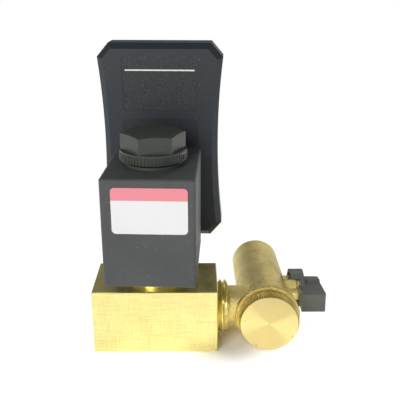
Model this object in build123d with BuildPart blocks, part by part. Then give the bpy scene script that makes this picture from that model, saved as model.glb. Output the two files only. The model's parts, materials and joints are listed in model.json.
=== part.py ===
from build123d import *
import os
from math import cos, radians, sin

# Automatic drain valve: a brass solenoid valve block with a plug-on timer, fed through
# a strainer ball valve. Millimetres. X runs along the block towards the strainer,
# Y to the rear and Z up. The origin is the middle of the block's bottom face.

# Fits
running_gap = 0.05  # radial play of what turns or slides
press_gap = 0.02  # radial play of what is pressed, potted or screwed in
coil_play = 0.1  # radial play of the coil on the tube
assembly_gap = 0.3  # room around parts that only pass through

# Valve block
block_length = 47.0
block_depth = 25.5
block_height = 25.5
block_edge = 0.3
half_inch_minor = 18.631  # G1/2
port_depth = 14.0
port_mouth_chamfer = 1.2
drilling_d = 5.0  # cross drillings between ports and chamber
chamber_d = 15.0
chamber_depth = 6.0
seat_d = 7.0
orifice_d = 4.0
feed_d = 3.2  # drilling that feeds the chamber
tube_socket_d = 18.4  # threaded socket for the armature tube
tube_socket_depth = 4.5

# Armature tube and plunger
o_ring_section = 1.4
tube_d = 13.0
tube_wall = 1.3
flange_d = 20.0
flange_height = 1.8
flange_hex = 17.0
flange_hex_height = 3.0
plunger_length = 27.0
plunger_stroke = 2.0
stop_gap = 0.05  # left between plunger and core at full stroke
plunger_seal_d = 6.8
plunger_seal_height = 2.5
plunger_seal_proud = 0.3
plunger_bore_d = 5.2
plunger_bore_depth = 10.0
spring_mean_d = 4.0
spring_wire_d = 0.6
spring_turns = 6.0
shading_ring_d = 9.0
shading_ring_wall = 0.8
shading_ring_height = 1.4
core_cap_height = 0.6
stud_d = 8.0
stud_height = 7.5

# Coil, turned a little about the tube as it was fitted
coil_turn = -2.85
coil_width = 32.8
coil_depth = 42.0
coil_height = 39.9
coil_corner = 1.2
coil_edge = 0.5
lower_seal_height = 1.5
lower_seal_d = 18.0
coil_collar_d = 21.0
coil_collar_height = 0.9
upper_seal_height = 1.0
upper_seal_d = 19.0
coil_wall = 3.2  # plastic outside the yoke at the front
coil_end_wall = 2.0  # plastic above and below the yoke
yoke_width = 22.0
yoke_thickness = 2.4
yoke_reach = 13.0  # yoke plates behind the tube
bobbin_wall = 1.0
bobbin_flange_d = 27.0
bobbin_flange_height = 1.2
winding_d = 26.6
coil_label_width = 26.2
coil_label_across = 0.6
coil_label_height = 16.6
coil_label_drop = 2.9  # below the coil's top face
coil_label_corner = 1.5
film = 0.15  # thickness of stuck-on labels

# Nut on the coil
nut_hex = 20.4
nut_height = 9.8
nut_flange_d = 24.2
nut_flange_height = 3.6
nut_top_wall = 1.9
nut_top_turned = 0.6  # flat left inside the hexagon at the top
nut_top_slope = 0.25
nut_turn = 7.5  # where the hexagon stopped when tightened

# Electrical connector between coil, timer and supply (DIN 43650 form A)
terminal_spread = 9.0  # blades off the centre
blade_width = 6.3
blade_thickness = 0.8
blade_length = 10.0
blade_root = 4.0  # embedded length
terminal_base = 27.0
terminal_base_height = 1.5
terminal_base_corner = 3.0
gasket_size = 28.5
gasket_thickness = 1.5
insert_d = 5.0
insert_length = 7.0
screw_d = 3.0  # M3
screw_minor_d = 2.5
screw_head_d = 6.4
screw_head_height = 7.4
screw_socket_depth = 6.0
screw_end_gap = 0.8
screw_hole_d = 3.4

# Timer housing
collar_reach = 3.2  # socket collar in front of the face
collar_wall = 1.5
timer_height = 79.4
timer_end_width = 49.4
timer_waist_width = 45.5
timer_cut_width = 4.6
timer_cut_height = 5.4
timer_bevel = 2.2
front_shell_depth = 12.0
rear_cover_depth = 18.0
cover_step = 1.6
cover_edge = 1.5
shell_wall = 1.8
plate_width = 29.6
plate_margin = 4.7  # timer's top to the upper plate
plate_gap = 3.25
lower_plate_height = 10.7
lower_plate_rise = 4.9  # above the socket collar
plate_recess = 0.5
plate_corner = 1.8
plate_thickness = 0.3

# Timer insides
socket_size = 26.0
socket_flange = 28.4
socket_flange_height = 1.6
socket_depth = 12.5
contact_slot_width = 8.0
contact_slot_height = 3.0
contact_width = 7.4
contact_height = 2.6
contact_length = 8.5
contact_base = 1.0
contact_tail = 1.0
contact_start = 2.0  # behind the socket's mouth
board_gap = 6.5  # socket to board
board_thickness = 1.6
board_side_gap = 0.45  # board to the cover's walls
board_end_gap = 1.3
capacitor_width = 18.0
capacitor_height = 10.0
capacitor_depth = 11.0
triac_across = 8.5
triac_width = 10.0
triac_height = 9.0
triac_depth = 4.5
chip_width = 6.4
chip_height = 9.6
chip_depth = 2.2
supply_body = 24.0
supply_body_depth = 6.0
supply_flange = 27.5
supply_flange_height = 2.0
supply_floor_wall = 1.6
post_d = 6.0
post_across = 17.5
post_from_end = 6.7
cover_screw_head_d = 4.6
cover_screw_head_height = 1.4
cross_length = 3.0
cross_width = 0.7
cross_depth = 1.0

# Timer controls, on the rear face
dial_across = 10.5
dial_drop = 18.0  # below the timer's top
dial_d = 11.0
dial_height = 3.2
dial_shaft_d = 5.0
dial_slot_width = 1.2
dial_slot_depth = 1.0
dial_lift = 0.2
dial_grips = 14  # flats round the rim
pot_size = 10.0
pot_height = 5.0
pot_grip = 2.5  # shaft held in the potentiometer
button_drop = 32.0
button_d = 7.0
button_flange_d = 9.0
button_flange_height = 1.0
button_proud = 2.0
button_travel = 0.8
button_edge = 0.6
button_foot_d = 4.0
switch_size = 6.0
switch_height = 3.5
switch_pin_d = 3.5
switch_pin_height = 1.4
switch_pin_depth = 1.0
led_across = 6.0
led_drop = 7.0
led_d = 3.0
led_proud = 0.6
led_body_height = 3.4  # behind the cover wall
lead_size = 0.5
lead_spread = 1.27

# Strainer ball valve: the barrel lies square to the neck and droops at its rear
barrel_x = 42.6
droop = 2.9
engaged_length = 12.0  # male thread inside the block
thread_length = 15.9  # male thread in all
neck_d = 16.2
neck_bore_d = 10.0
barrel_d = 20.4
barrel_rear = 47.5
barrel_front = -9.4
barrel_edge = 0.8
collar_d = 24.0
collar_length = 3.0
collar_web = 1.2
chamber_bore_d = 15.5
chamber_rear = 8.1
screen_seat_depth = 0.7
throat_d = 8.4
throat_length = 1.7
inlet_minor_d = 14.95  # G3/8
inlet_depth = 16.0
cavity_d = 14.4  # bore of the ball and its seats
inlet_mouth_chamfer = 0.9
cap_thread_d = 17.2
cap_thread_length = 6.2
cap_head_d = 22.5
cap_head_length = 5.4
cap_edge = 0.4
cap_bore_d = 12.4
cap_bore_depth = 8.5
cap_gasket_thickness = 0.6
cap_gasket_width = 1.6
screen_d = 11.9
screen_wall = 0.4

# Ball, stem and handle; the stem runs along X
stem_along = 17.1  # stem axis behind the neck axis
ball_d = 13.6
ball_bore_d = 8.0
seat_ring_length = 3.0
ball_play = 0.05
retainer_length = 4.0
retainer_bore_d = 9.0
retainer_slot = 2.0
tang_width = 3.0
tang_length = 6.4
tang_depth = 1.8
stem_collar_d = 7.0
stem_collar_height = 1.2
stem_d = 5.0
packing_d = 8.0
packing_ring = 1.1
stem_shoulder = 1.0
boss_d = 10.2
boss_end = 12.6
gland_hex = 9.0
gland_height = 2.9
stop_inner_d = 10.8
stop_outer_d = 15.2
stop_from = 131.0
stop_to = 159.0
stop_reach = 1.0
handle_gap = 0.1
plate_d = 15.8  # handle disc
handle_plate = 1.6
skirt_wall = 1.3
skirt_reach = 3.8
skirt_from = -110.0
skirt_to = 130.0
drum_d = 9.4
drum_length = 7.1
drum_edge = 0.7
lever_tip = 2.2
lever_inner = 15.0
lever_outer = 24.3
lever_tip_height = 8.2
lever_root_height = 6.6
lever_edge = 0.5
drive_square = 3.5
drive_length = 4.4
handle_screw_d = 2.5
handle_screw_minor_d = 2.05
handle_screw_length = 6.0
handle_screw_head_d = 5.0
handle_screw_head_height = 1.5
handle_recess_d = 5.6
handle_floor = 1.5
lever_end = 13.5

# ------------------------------------------------------------ derived places

port_height = block_height / 2
block_end = block_length / 2
seat_top = block_height - tube_socket_depth  # flush with the socket floor
tube_bore_d = tube_d - 2 * tube_wall
plunger_d = tube_bore_d - 2 * running_gap
plunger_bottom = seat_top + plunger_seal_proud
plunger_top = plunger_bottom + plunger_length
core_bottom = plunger_top + plunger_stroke + stop_gap
flange_top = block_height + flange_height + flange_hex_height
tube_bottom = seat_top + o_ring_section
coil_bottom = flange_top + lower_seal_height
coil_top = coil_bottom + coil_height
coil_middle = coil_bottom + coil_height / 2
coil_bore_d = tube_d + 2 * coil_play
nut_bottom = coil_top + coil_collar_height + upper_seal_height
nut_top = nut_bottom + nut_height
tube_top = nut_bottom - core_cap_height - press_gap
yoke_low = coil_bottom + coil_end_wall
yoke_high = coil_top - coil_end_wall
yoke_front = coil_wall - coil_depth / 2
bobbin_low = yoke_low + yoke_thickness
bobbin_high = yoke_high - yoke_thickness
bobbin_tube_d = coil_bore_d + 2 * bobbin_wall

base_face = coil_depth / 2 + terminal_base_height
gasket_rear = base_face + gasket_thickness
timer_face = gasket_rear + collar_reach
shell_rear = timer_face + front_shell_depth
cover_rear = shell_rear + rear_cover_depth
timer_low = coil_bottom
timer_top = timer_low + timer_height
timer_middle = timer_low + timer_height / 2
socket_mouth = gasket_rear
socket_rear = socket_mouth + socket_depth
board_front = socket_rear + board_gap
board_rear = board_front + board_thickness
supply_face = cover_rear + supply_flange_height
supply_floor = cover_rear - supply_body_depth
screw_bearing = supply_floor + supply_floor_wall
lower_plate_low = coil_middle + socket_size / 2 + collar_wall + lower_plate_rise
lower_plate_middle = lower_plate_low + lower_plate_height / 2
upper_plate_low = lower_plate_low + lower_plate_height + plate_gap
upper_plate_height = timer_top - plate_margin - upper_plate_low
upper_plate_middle = upper_plate_low + upper_plate_height / 2
board_width = timer_waist_width - 2 * (cover_step + shell_wall + board_side_gap)
board_height = timer_height - 2 * (cover_step + shell_wall + board_end_gap)
dial_middle = timer_top - dial_drop
button_middle = timer_top - button_drop
led_middle = timer_top - led_drop
cover_inner = cover_rear - shell_wall

barrel_dir = (0, cos(radians(droop)), -sin(radians(droop)))
neck_point = (barrel_x, 0, port_height)
barrel_axis = Axis(neck_point, barrel_dir)
coil_frame = Plane.XY.rotated((0, 0, coil_turn))
rearward = Axis(coil_frame.origin, coil_frame.y_dir)


def level(height):
    """Level sketch plane of the coil and timer: x to their right, y to their rear."""
    return coil_frame.offset(height)


def upright(depth, height=0):
    """Upright sketch plane of the coil and timer, facing forward, at a depth behind the tube."""
    origin = coil_frame.from_local_coords(Vector(0, depth, height))
    return Plane(origin=origin, x_dir=coil_frame.x_dir, z_dir=-coil_frame.y_dir)


def across(reach, along=0):
    """Strainer sketch plane facing +X, at a reach from the barrel axis: x along the barrel, y up."""
    origin = Vector(neck_point) + Vector(barrel_dir) * along + Vector(reach, 0, 0)
    return Plane(origin=origin, x_dir=barrel_dir, z_dir=(1, 0, 0))


def stem_plane():
    """Sketch plane through the stem axis: x along the stem, y up."""
    return Plane(origin=across(0, stem_along).origin, x_dir=(1, 0, 0), z_dir=-Vector(barrel_dir))


stem_axis = Axis(stem_plane().origin, (1, 0, 0))


def band(outer_d, inner_d, start, end):
    """Half section of a ring about the sketch's x axis, from start to end along it."""
    with Locations(((start + end) / 2, (outer_d + inner_d) / 4)):
        Rectangle(end - start, (outer_d - inner_d) / 2)


def column(outer_d, inner_d, low, high):
    """Half section of a ring about the sketch's y axis, from low to high."""
    with Locations(((outer_d + inner_d) / 4, (low + high) / 2)):
        Rectangle((outer_d - inner_d) / 2, high - low)


def blade_slots(width, height):
    """Three slots where the connector's blades stand: left, right and earth below."""
    with Locations((-terminal_spread, 0), (terminal_spread, 0)):
        Rectangle(height, width)
    with Locations((0, -terminal_spread)):
        Rectangle(width, height)


def yoke_solid(mode):
    """Two yoke plates joined by a strap at the front."""
    middle = (yoke_front + yoke_reach) / 2
    for low in (yoke_low, yoke_high - yoke_thickness):
        with BuildSketch(level(low)) as plate:
            with Locations((0, middle)):
                Rectangle(yoke_width, yoke_reach - yoke_front)
        extrude(plate.sketch, amount=yoke_thickness, mode=mode)
    with BuildSketch(level(yoke_low)) as strap:
        with Locations((0, yoke_front + yoke_thickness / 2)):
            Rectangle(yoke_width, yoke_thickness)
    extrude(strap.sketch, amount=yoke_high - yoke_low, mode=mode)


def ring_sector(outer_d, inner_d, start, end):
    """Sketch of a ring's part between two angles."""
    with BuildLine() as edge:
        outer = CenterArc((0, 0), outer_d / 2, start, end - start)
        inner = CenterArc((0, 0), inner_d / 2, start, end - start)
        Line(outer @ 0, inner @ 0)
        Line(outer @ 1, inner @ 1)
    make_face(edge.line)


def hourglass():
    """Timer outline: waisted sides between cut corners, about its own middle."""
    half_end = timer_end_width / 2
    half_waist = timer_waist_width / 2
    half_height = timer_height / 2
    side_end = half_height - timer_cut_height
    flat_end = half_end - timer_cut_width
    return [
        ((half_end, -side_end), (half_waist, 0), (half_end, side_end)),
        ((flat_end, half_height), (-flat_end, half_height)),
        ((-half_end, side_end), (-half_waist, 0), (-half_end, -side_end)),
        ((-flat_end, -half_height), (flat_end, -half_height)),
    ]


def draw_hourglass():
    """Draw the timer outline as one closed line in the current BuildLine."""
    right, top, left, bottom = hourglass()
    ThreePointArc(*right)
    Polyline(right[2], *top, left[0])
    ThreePointArc(*left)
    Polyline(left[2], *bottom, right[0])


# ------------------------------------------------------------ valve block and tube

with BuildPart() as valve_block:
    Box(block_length, block_depth, block_height, align=(Align.CENTER, Align.CENTER, Align.MIN))
    chamfer(valve_block.edges(), length=block_edge)
    # threaded ports at both ends, with their cross drillings
    for side in (-1, 1):
        port_face = Plane(origin=(side * block_end, 0, port_height), z_dir=(side, 0, 0))
        with BuildSketch(port_face):
            Circle(half_inch_minor / 2)
        extrude(amount=-port_depth, mode=Mode.SUBTRACT)
        with BuildSketch(port_face):
            Circle(half_inch_minor / 2 + port_mouth_chamfer)
        extrude(amount=-port_mouth_chamfer, taper=45, mode=Mode.SUBTRACT)
    feed_x = (seat_d + chamber_d) / 4
    with BuildSketch(Plane.YZ.offset(feed_x - feed_d / 2)):
        with Locations((0, port_height)):
            Circle(drilling_d / 2)
    extrude(amount=block_end - port_depth - feed_x + feed_d, mode=Mode.SUBTRACT)
    with BuildSketch(Plane.YZ.offset(port_depth - block_end - orifice_d / 2)):
        with Locations((0, port_height)):
            Circle(drilling_d / 2)
    extrude(amount=block_end - port_depth + orifice_d, mode=Mode.SUBTRACT)
    # socket for the armature tube, valve chamber around the seat
    with BuildSketch(Plane.XZ):
        column(tube_socket_d, 0, seat_top, block_height)
        column(chamber_d, seat_d, block_height - chamber_depth, seat_top)
    revolve(axis=Axis.Z, mode=Mode.SUBTRACT)
    with BuildSketch(Plane.XY.offset(port_height)):
        Circle(orifice_d / 2)
    extrude(amount=seat_top - port_height, mode=Mode.SUBTRACT)
    with BuildSketch(Plane.XY.offset(port_height)):
        with Locations((feed_x, 0)):
            Circle(feed_d / 2)
    extrude(amount=block_height - chamber_depth - port_height, mode=Mode.SUBTRACT)

with BuildPart() as tube_flange:
    with BuildSketch(Plane.XY.offset(tube_bottom)):
        Circle(tube_socket_d / 2 - press_gap)
    extrude(amount=block_height - tube_bottom)
    with BuildSketch(Plane.XY.offset(block_height)):
        Circle(flange_d / 2)
    extrude(amount=flange_height)
    with BuildSketch(Plane.XY.offset(block_height + flange_height)):
        RegularPolygon(flange_hex / 2, 6, major_radius=False)
    extrude(amount=flange_hex_height)
    with BuildSketch(Plane.XY.offset(tube_bottom)):
        Circle(tube_d / 2 + press_gap)
    extrude(amount=flange_top - tube_bottom, mode=Mode.SUBTRACT)

with BuildPart() as tube_o_ring:
    ring_outer_d = tube_socket_d - 2 * press_gap
    with BuildSketch(Plane.XZ):
        column(ring_outer_d, ring_outer_d - 2 * o_ring_section, seat_top, tube_bottom)
    revolve(axis=Axis.Z)

with BuildPart() as armature_tube:
    with BuildSketch(Plane.XZ):
        column(tube_d, tube_bore_d, tube_bottom, tube_top)
    revolve(axis=Axis.Z)

with BuildPart() as fixed_core:
    with BuildSketch(Plane.XZ):
        column(tube_bore_d - 2 * press_gap, 0, core_bottom, tube_top)
        column(tube_d, 0, tube_top, tube_top + core_cap_height)
        column(stud_d, 0, tube_top, nut_bottom + stud_height)
    revolve(axis=Axis.Z)
    with BuildSketch(Plane.XZ):
        groove_inner_d = shading_ring_d - 2 * shading_ring_wall - 2 * press_gap
        groove_top = core_bottom + shading_ring_height + press_gap
        column(shading_ring_d + 2 * press_gap, groove_inner_d, core_bottom, groove_top)
    revolve(axis=Axis.Z, mode=Mode.SUBTRACT)

with BuildPart() as shading_ring:
    with BuildSketch(Plane.XZ):
        ring_inner_d = shading_ring_d - 2 * shading_ring_wall
        column(shading_ring_d, ring_inner_d, core_bottom, core_bottom + shading_ring_height)
    revolve(axis=Axis.Z)

with BuildPart() as plunger:
    with BuildSketch(Plane.XZ):
        column(plunger_d, 0, plunger_bottom, plunger_top)
    revolve(axis=Axis.Z)
    with BuildSketch(Plane.XZ):
        column(plunger_bore_d, 0, plunger_top - plunger_bore_depth, plunger_top)
        seal_pocket_top = seat_top + plunger_seal_height
        column(plunger_seal_d + 2 * press_gap, 0, plunger_bottom, seal_pocket_top)
    revolve(axis=Axis.Z, mode=Mode.SUBTRACT)

with BuildPart() as plunger_seal:
    with BuildSketch(Plane.XY.offset(seat_top)):
        Circle(plunger_seal_d / 2)
    extrude(amount=plunger_seal_height)

spring_low = plunger_top - plunger_bore_depth
with BuildPart() as plunger_spring:
    coil_rise = core_bottom - spring_low - spring_wire_d
    with BuildLine() as spring_path:
        Helix(
            pitch=coil_rise / spring_turns,
            height=coil_rise,
            radius=spring_mean_d / 2,
            center=(0, 0, spring_low + spring_wire_d / 2),
        )
    with BuildSketch(Plane(origin=spring_path.line @ 0, z_dir=spring_path.line % 0)):
        RegularPolygon(spring_wire_d / 2, 5)
    sweep(path=spring_path.line, is_frenet=True)

# ------------------------------------------------------------ coil

with BuildPart() as coil_lower_seal:
    with BuildSketch(Plane.XZ):
        column(lower_seal_d, coil_bore_d, flange_top, coil_bottom)
    revolve(axis=Axis.Z)

with BuildPart() as coil_housing:
    with BuildSketch(level(coil_bottom)):
        RectangleRounded(coil_width, coil_depth, coil_corner)
    extrude(amount=coil_height)
    end_edges = coil_housing.edges().group_by(Axis.Z)
    chamfer(end_edges[0] + end_edges[-1], length=coil_edge)
    with BuildSketch(level(coil_top)):
        Circle(coil_collar_d / 2)
    extrude(amount=coil_collar_height)
    # terminal base at the rear
    with BuildSketch(upright(base_face, coil_middle)):
        Rectangle(terminal_base, terminal_base)
        chamfer(vertices(), length=terminal_base_corner)
    extrude(amount=terminal_base_height)
    # potting space of the yoke, the bobbin and the tube
    yoke_solid(Mode.SUBTRACT)
    with BuildSketch(Plane.XZ):
        column(bobbin_flange_d + 2 * press_gap, 0, bobbin_low, bobbin_high)
        column(coil_bore_d, 0, coil_bottom, coil_top + coil_collar_height)
    revolve(axis=Axis.Z, mode=Mode.SUBTRACT)
    # pockets of the blades and of the threaded insert
    with BuildSketch(upright(base_face, coil_middle)):
        blade_slots(blade_width, blade_thickness)
    extrude(amount=blade_root, mode=Mode.SUBTRACT)
    with BuildSketch(upright(base_face, coil_middle)):
        Circle(insert_d / 2 + press_gap)
    extrude(amount=insert_length, mode=Mode.SUBTRACT)

with BuildPart() as coil_bobbin:
    with BuildSketch(Plane.XZ):
        column(bobbin_tube_d, coil_bore_d, bobbin_low, bobbin_high)
        column(bobbin_flange_d, coil_bore_d, bobbin_low, bobbin_low + bobbin_flange_height)
        column(bobbin_flange_d, coil_bore_d, bobbin_high - bobbin_flange_height, bobbin_high)
    revolve(axis=Axis.Z)

with BuildPart() as coil_winding:
    with BuildSketch(Plane.XZ):
        winding_low = bobbin_low + bobbin_flange_height
        winding_high = bobbin_high - bobbin_flange_height
        column(winding_d, bobbin_tube_d + 2 * press_gap, winding_low, winding_high)
    revolve(axis=Axis.Z)

with BuildPart() as coil_yoke:
    yoke_solid(Mode.ADD)
    with BuildSketch(Plane.XY.offset(yoke_low)):
        Circle(coil_bore_d / 2)
    extrude(amount=yoke_high - yoke_low, mode=Mode.SUBTRACT)

with BuildPart() as coil_terminals:
    with BuildSketch(upright(base_face + blade_length, coil_middle)):
        blade_slots(blade_width, blade_thickness)
    extrude(amount=blade_length + blade_root)

with BuildPart() as coil_insert:
    with BuildSketch(upright(base_face, coil_middle)):
        Circle(insert_d / 2)
        Circle(screw_minor_d / 2, mode=Mode.SUBTRACT)
    extrude(amount=insert_length)

with BuildPart() as coil_label:
    label_middle = coil_top - coil_label_drop - coil_label_height / 2
    with BuildSketch(upright(-coil_depth / 2, label_middle)):
        with Locations((coil_label_across, 0)):
            RectangleRounded(coil_label_width, coil_label_height, coil_label_corner)
    extrude(amount=film)

with BuildPart() as coil_upper_seal:
    with BuildSketch(Plane.XZ):
        column(upper_seal_d, coil_bore_d, coil_top + coil_collar_height, nut_bottom)
    revolve(axis=Axis.Z)

with BuildPart() as coil_nut:
    with BuildSketch(Plane.XY.offset(nut_bottom)):
        Circle(nut_flange_d / 2)
    extrude(amount=nut_flange_height)
    with BuildSketch(Plane.XY.offset(nut_bottom)):
        RegularPolygon(nut_hex / 2, 6, major_radius=False, rotation=nut_turn)
    extrude(amount=nut_height)
    # hexagon corners turned off in a cone
    with BuildSketch(Plane.XZ):
        with BuildLine():
            Polyline(
                (nut_hex / 2 - nut_top_turned, nut_top),
                (nut_hex, nut_top),
                (nut_hex, nut_top - (nut_hex / 2 + nut_top_turned) * nut_top_slope),
                close=True,
            )
        make_face()
    revolve(axis=Axis.Z, mode=Mode.SUBTRACT)
    with BuildSketch(Plane.XY.offset(nut_bottom)):
        Circle(stud_d / 2 + press_gap)
    extrude(amount=nut_height - nut_top_wall, mode=Mode.SUBTRACT)

with BuildPart() as connector_gasket:
    with BuildSketch(upright(gasket_rear, coil_middle)):
        Rectangle(gasket_size, gasket_size)
        Circle(screw_hole_d / 2, mode=Mode.SUBTRACT)
    extrude(amount=gasket_thickness)
    with BuildSketch(upright(gasket_rear, coil_middle)):
        blade_slots(blade_width + 2 * assembly_gap, blade_thickness + 2 * assembly_gap)
    extrude(amount=gasket_thickness, mode=Mode.SUBTRACT)

# ------------------------------------------------------------ timer housing

with BuildPart() as timer_front_shell:
    with BuildSketch(upright(shell_rear, timer_middle)):
        with BuildLine():
            draw_hourglass()
        make_face()
    extrude(amount=front_shell_depth)
    face_edges = timer_front_shell.faces().sort_by(rearward)[0].edges()
    chamfer(face_edges, length=timer_bevel)
    with BuildSketch(upright(shell_rear, timer_middle)):
        with BuildLine():
            draw_hourglass()
        make_face()
        offset(amount=-shell_wall, mode=Mode.REPLACE)
    extrude(amount=front_shell_depth - shell_wall, mode=Mode.SUBTRACT)
    # recesses of the two plates
    with BuildSketch(upright(timer_face, upper_plate_middle)):
        RectangleRounded(plate_width, upper_plate_height, plate_corner)
    extrude(amount=-plate_recess, mode=Mode.SUBTRACT)
    with BuildSketch(upright(timer_face, lower_plate_middle)):
        RectangleRounded(plate_width, lower_plate_height, plate_corner)
    extrude(amount=-plate_recess, mode=Mode.SUBTRACT)
    # collar around the socket, posts of the cover screws
    with BuildSketch(upright(socket_mouth, coil_middle)):
        Rectangle(socket_size + 2 * collar_wall, socket_size + 2 * collar_wall)
    extrude(amount=-collar_reach)
    with BuildSketch(upright(socket_mouth, coil_middle)):
        Rectangle(socket_size + 2 * press_gap, socket_size + 2 * press_gap)
    extrude(amount=-collar_reach - shell_wall, mode=Mode.SUBTRACT)
    with BuildSketch(upright(shell_rear, timer_middle)):
        with GridLocations(2 * post_across, timer_height - 2 * post_from_end, 2, 2):
            Circle(post_d / 2)
    extrude(amount=front_shell_depth - shell_wall)

with BuildPart() as timer_rear_cover:
    with BuildSketch(upright(cover_rear, timer_middle)):
        with BuildLine():
            draw_hourglass()
        make_face()
        offset(amount=-cover_step, mode=Mode.REPLACE)
    extrude(amount=rear_cover_depth)
    rear_edges = timer_rear_cover.faces().sort_by(rearward)[-1].edges()
    chamfer(rear_edges, length=cover_edge)
    with BuildSketch(upright(cover_inner, timer_middle)):
        with BuildLine():
            draw_hourglass()
        make_face()
        offset(amount=-cover_step - shell_wall, mode=Mode.REPLACE)
    extrude(amount=rear_cover_depth - shell_wall, mode=Mode.SUBTRACT)
    with BuildSketch(upright(cover_inner, timer_middle)):
        with GridLocations(2 * post_across, timer_height - 2 * post_from_end, 2, 2):
            Circle(post_d / 2)
    extrude(amount=rear_cover_depth - shell_wall)
    with BuildSketch(upright(cover_rear, timer_middle)):
        with GridLocations(2 * post_across, timer_height - 2 * post_from_end, 2, 2):
            Circle(cover_screw_head_d / 2)
    extrude(amount=cover_screw_head_height, mode=Mode.SUBTRACT)
    # openings for the supply base, the dials, the button and the lights
    with BuildSketch(upright(cover_rear, coil_middle)):
        Rectangle(supply_body + 2 * press_gap, supply_body + 2 * press_gap)
    extrude(amount=shell_wall, mode=Mode.SUBTRACT)
    with BuildSketch(upright(cover_rear, dial_middle)):
        with Locations((-dial_across, 0), (dial_across, 0)):
            Circle(dial_shaft_d / 2 + assembly_gap)
        with Locations((0, button_middle - dial_middle)):
            Circle(button_d / 2 + running_gap)
        with Locations((-led_across, led_middle - dial_middle), (led_across, led_middle - dial_middle)):
            Circle(led_d / 2 + press_gap)
    extrude(amount=shell_wall, mode=Mode.SUBTRACT)

with BuildPart() as upper_plate:
    with BuildSketch(upright(timer_face + plate_recess, upper_plate_middle)):
        plate_play = 2 * press_gap
        RectangleRounded(plate_width - plate_play, upper_plate_height - plate_play, plate_corner)
    extrude(amount=plate_thickness)

with BuildPart() as lower_plate:
    with BuildSketch(upright(timer_face + plate_recess, lower_plate_middle)):
        RectangleRounded(plate_width - plate_play, lower_plate_height - plate_play, plate_corner)
    extrude(amount=plate_thickness)

# ------------------------------------------------------------ timer insides

with BuildPart() as timer_socket:
    with BuildSketch(upright(socket_rear, coil_middle)):
        Rectangle(socket_size, socket_size)
    extrude(amount=socket_depth)
    with BuildSketch(upright(timer_face + shell_wall + socket_flange_height, coil_middle)):
        Rectangle(socket_flange, socket_flange)
    extrude(amount=socket_flange_height)
    with BuildSketch(upright(socket_rear, coil_middle)):
        Circle(screw_hole_d / 2)
        blade_slots(blade_width + 2 * assembly_gap, blade_thickness + 2 * assembly_gap)
    extrude(amount=socket_depth, mode=Mode.SUBTRACT)
    with BuildSketch(upright(socket_rear, coil_middle)):
        blade_slots(contact_width + 2 * assembly_gap, contact_height + 2 * assembly_gap)
    extrude(amount=socket_depth - contact_start, mode=Mode.SUBTRACT)

with BuildPart() as socket_contacts:
    contact_rear = socket_mouth + contact_start + contact_length
    with BuildSketch(upright(contact_rear, coil_middle)):
        blade_slots(contact_width, contact_height)
    extrude(amount=contact_length)
    with BuildSketch(upright(contact_rear - contact_base, coil_middle)):
        blade_slots(blade_width + 2 * press_gap, blade_thickness + 2 * press_gap)
    extrude(amount=contact_length - contact_base, mode=Mode.SUBTRACT)
    with BuildSketch(upright(board_front, coil_middle)):
        blade_slots(contact_tail, contact_tail)
    extrude(amount=board_front - contact_rear)

with BuildPart() as circuit_board:
    with BuildSketch(upright(board_rear, timer_middle)):
        Rectangle(board_width, board_height)
        with GridLocations(2 * post_across, timer_height - 2 * post_from_end, 2, 2):
            Circle(post_d / 2 + assembly_gap, mode=Mode.SUBTRACT)
        with Locations((0, coil_middle - timer_middle)):
            Circle(screw_hole_d / 2, mode=Mode.SUBTRACT)
    extrude(amount=board_thickness)

with BuildPart() as film_capacitor:
    with BuildSketch(upright(board_front, dial_middle)):
        RectangleRounded(capacitor_width, capacitor_height, 1)
    extrude(amount=capacitor_depth)

with BuildPart() as drive_triac:
    with BuildSketch(upright(board_front, button_middle)):
        with Locations((triac_across, 0)):
            Rectangle(triac_width, triac_height)
    extrude(amount=triac_depth)

with BuildPart() as timer_chip:
    with BuildSketch(upright(board_front, button_middle)):
        with Locations((-triac_across, 0)):
            Rectangle(chip_width, chip_height)
    extrude(amount=chip_depth)

with BuildPart() as dial_pots:
    with BuildSketch(upright(board_rear + pot_height, dial_middle)):
        with Locations((-dial_across, 0), (dial_across, 0)):
            Rectangle(pot_size, pot_size)
            Circle(dial_shaft_d / 2 + running_gap, mode=Mode.SUBTRACT)
    extrude(amount=pot_height)

with BuildPart() as test_switch:
    with BuildSketch(upright(board_rear + switch_height, button_middle)):
        Rectangle(switch_size, switch_size)
    extrude(amount=switch_height)
    with BuildSketch(upright(board_rear + switch_height, button_middle)):
        Circle(switch_pin_d / 2 + running_gap)
    extrude(amount=switch_pin_depth + button_travel + running_gap, mode=Mode.SUBTRACT)

with BuildPart() as switch_plunger:
    with BuildSketch(upright(board_rear + switch_height + switch_pin_height, button_middle)):
        Circle(switch_pin_d / 2)
    extrude(amount=switch_pin_height + switch_pin_depth)

with BuildPart() as status_leds:
    led_base = cover_inner - led_body_height
    with BuildSketch(upright(cover_rear + led_proud, led_middle)):
        with Locations((-led_across, 0), (led_across, 0)):
            Circle(led_d / 2)
    extrude(amount=cover_rear + led_proud - led_base)
    with BuildSketch(upright(led_base, led_middle)):
        with Locations((-led_across, 0), (led_across, 0)):
            with GridLocations(2 * lead_spread, 0, 2, 1):
                Rectangle(lead_size, lead_size)
    extrude(amount=led_base - board_rear)

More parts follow.
